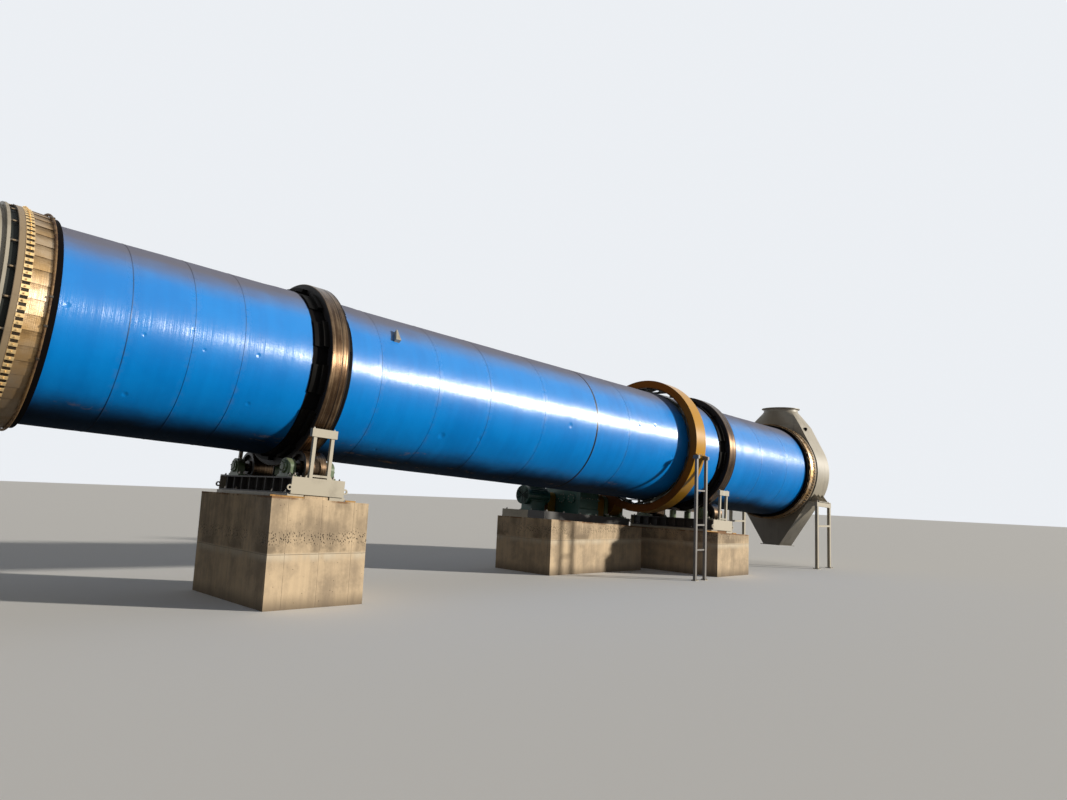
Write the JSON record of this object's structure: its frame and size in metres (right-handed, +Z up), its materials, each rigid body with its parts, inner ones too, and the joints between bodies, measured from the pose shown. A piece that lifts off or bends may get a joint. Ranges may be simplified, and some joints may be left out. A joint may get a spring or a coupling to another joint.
{
  "type": "rotary drum dryer",
  "caption": "Inclined rotary drum dryer on concrete piers, with riding tyres, girth gear drive, seals, feed hood and discharge hood.",
  "frame": {"origin": "on the ground, under the middle of the feed pier", "axes": "+X downhill along the drum, +Y to the drive side, +Z up; the drum's axis falls 2.7 degrees towards +X"},
  "size_m": [26.0955, 4.565, 5.8957],
  "materials": {
    "drum_paint": "glossy blue enamel, dusty",
    "greasy_steel": "cast steel, greasy, with a polished brown tread",
    "bare_steel": "bare machined steel, worn",
    "seal_stainless": "stainless strip with golden heat tint",
    "hood_paint": "beige-grey paint",
    "frame_paint": "cream-grey paint",
    "guard_paint": "glossy ochre-yellow paint",
    "bearing_paint": "green machine paint",
    "drive_paint": "blue-grey machine paint",
    "flight_steel": "worn mild steel, rust-brown",
    "concrete": "board-marked cast concrete"
  },
  "bodies": {
    "plant": {"chute_flange": "hood_paint", "coupling_guards": "guard_paint", "discharge_hood": "hood_paint", "discharge_hood_back": "hood_paint", "discharge_hood_face": "hood_paint", "discharge_spigot": "hood_paint", "drive_base": "frame_paint", "feed_hood": "hood_paint", "feed_mouth": "hood_paint", "gear_guard_lower": "guard_paint", "gear_guard_upper": "guard_paint", "goalposts_discharge": "frame_paint", "goalposts_feed": "frame_paint", "guard_posts_far": "frame_paint", "guard_posts_near": "frame_paint", "motor": "drive_paint", "pier_discharge": "concrete", "pier_drive": "concrete", "pier_feed": "concrete", "pinion_bearings": "bearing_paint", "reducer": "drive_paint", "roller_base_discharge": "frame_paint", "roller_base_feed": "frame_paint", "roller_bearings_discharge": "bearing_paint", "roller_bearings_feed": "bearing_paint", "roller_portals": "frame_paint", "seal_leaves_discharge": "seal_stainless", "seal_leaves_feed": "seal_stainless", "seal_ring_discharge": "hood_paint", "seal_ring_feed": "hood_paint", "sole_plates": "frame_paint", "thrust_housings": "bearing_paint"},
    "drum": {"drum_shell": "drum_paint", "girth_gear": "greasy_steel", "lifting_flights": "flight_steel", "spring_plates": "greasy_steel", "tyre_discharge": "greasy_steel", "tyre_feed": "greasy_steel", "tyre_pads": "greasy_steel", "wear_rings": "greasy_steel"},
    "roller_feed_near": {"roller_feed_near": "bare_steel"},
    "roller_feed_far": {"roller_feed_far": "bare_steel"},
    "roller_discharge_near": {"roller_discharge_near": "bare_steel"},
    "roller_discharge_far": {"roller_discharge_far": "bare_steel"},
    "pinion": {"pinion": "greasy_steel"},
    "thrust_roller_uphill": {"thrust_roller_uphill": "bare_steel"},
    "thrust_roller_downhill": {"thrust_roller_downhill": "bare_steel"}
  },
  "joints": [
    {"name": "drum_spin", "type": "hinge", "parent": "plant", "child": "drum", "pos_m": [0, 0, 4.02], "axis": [0.9989, 0, -0.0471], "continuous": true},
    {"name": "roller_feed_near_spin", "type": "hinge", "parent": "plant", "child": "roller_feed_near", "pos_m": [-0.0816, -1.00015, 2.28961], "axis": [0.9989, 0, -0.0471], "continuous": true},
    {"name": "roller_feed_far_spin", "type": "hinge", "parent": "plant", "child": "roller_feed_far", "pos_m": [-0.0816, 1.00015, 2.28961], "axis": [0.9989, 0, -0.0471], "continuous": true},
    {"name": "roller_discharge_near_spin", "type": "hinge", "parent": "plant", "child": "roller_discharge_near", "pos_m": [12.53438, -1.00015, 1.69466], "axis": [0.9989, 0, -0.0471], "continuous": true},
    {"name": "roller_discharge_far_spin", "type": "hinge", "parent": "plant", "child": "roller_discharge_far", "pos_m": [12.53438, 1.00015, 1.69466], "axis": [0.9989, 0, -0.0471], "continuous": true},
    {"name": "pinion_spin", "type": "hinge", "parent": "plant", "child": "pinion", "pos_m": [10.67622, 1.18497, 1.88373], "axis": [0.9989, 0, -0.0471], "continuous": true},
    {"name": "thrust_roller_uphill_spin", "type": "hinge", "parent": "plant", "child": "thrust_roller_uphill", "pos_m": [12.16813, 0, 1.78933], "axis": [0.0471, 0, 0.9989], "continuous": true},
    {"name": "thrust_roller_downhill_spin", "type": "hinge", "parent": "plant", "child": "thrust_roller_downhill", "pos_m": [12.90791, 0, 1.75444], "axis": [0.0471, 0, 0.9989], "continuous": true}
  ],
  "couplings": [
    {"joint": "roller_feed_near_spin", "follows": "drum_spin", "ratio": -5.6667},
    {"joint": "roller_feed_far_spin", "follows": "drum_spin", "ratio": -5.6667},
    {"joint": "roller_discharge_near_spin", "follows": "drum_spin", "ratio": -5.6667},
    {"joint": "roller_discharge_far_spin", "follows": "drum_spin", "ratio": -5.6667},
    {"joint": "pinion_spin", "follows": "drum_spin", "ratio": -6.4667},
    {"joint": "thrust_roller_uphill_spin", "follows": "drum_spin", "ratio": 8.275},
    {"joint": "thrust_roller_downhill_spin", "follows": "drum_spin", "ratio": -8.275}
  ]
}
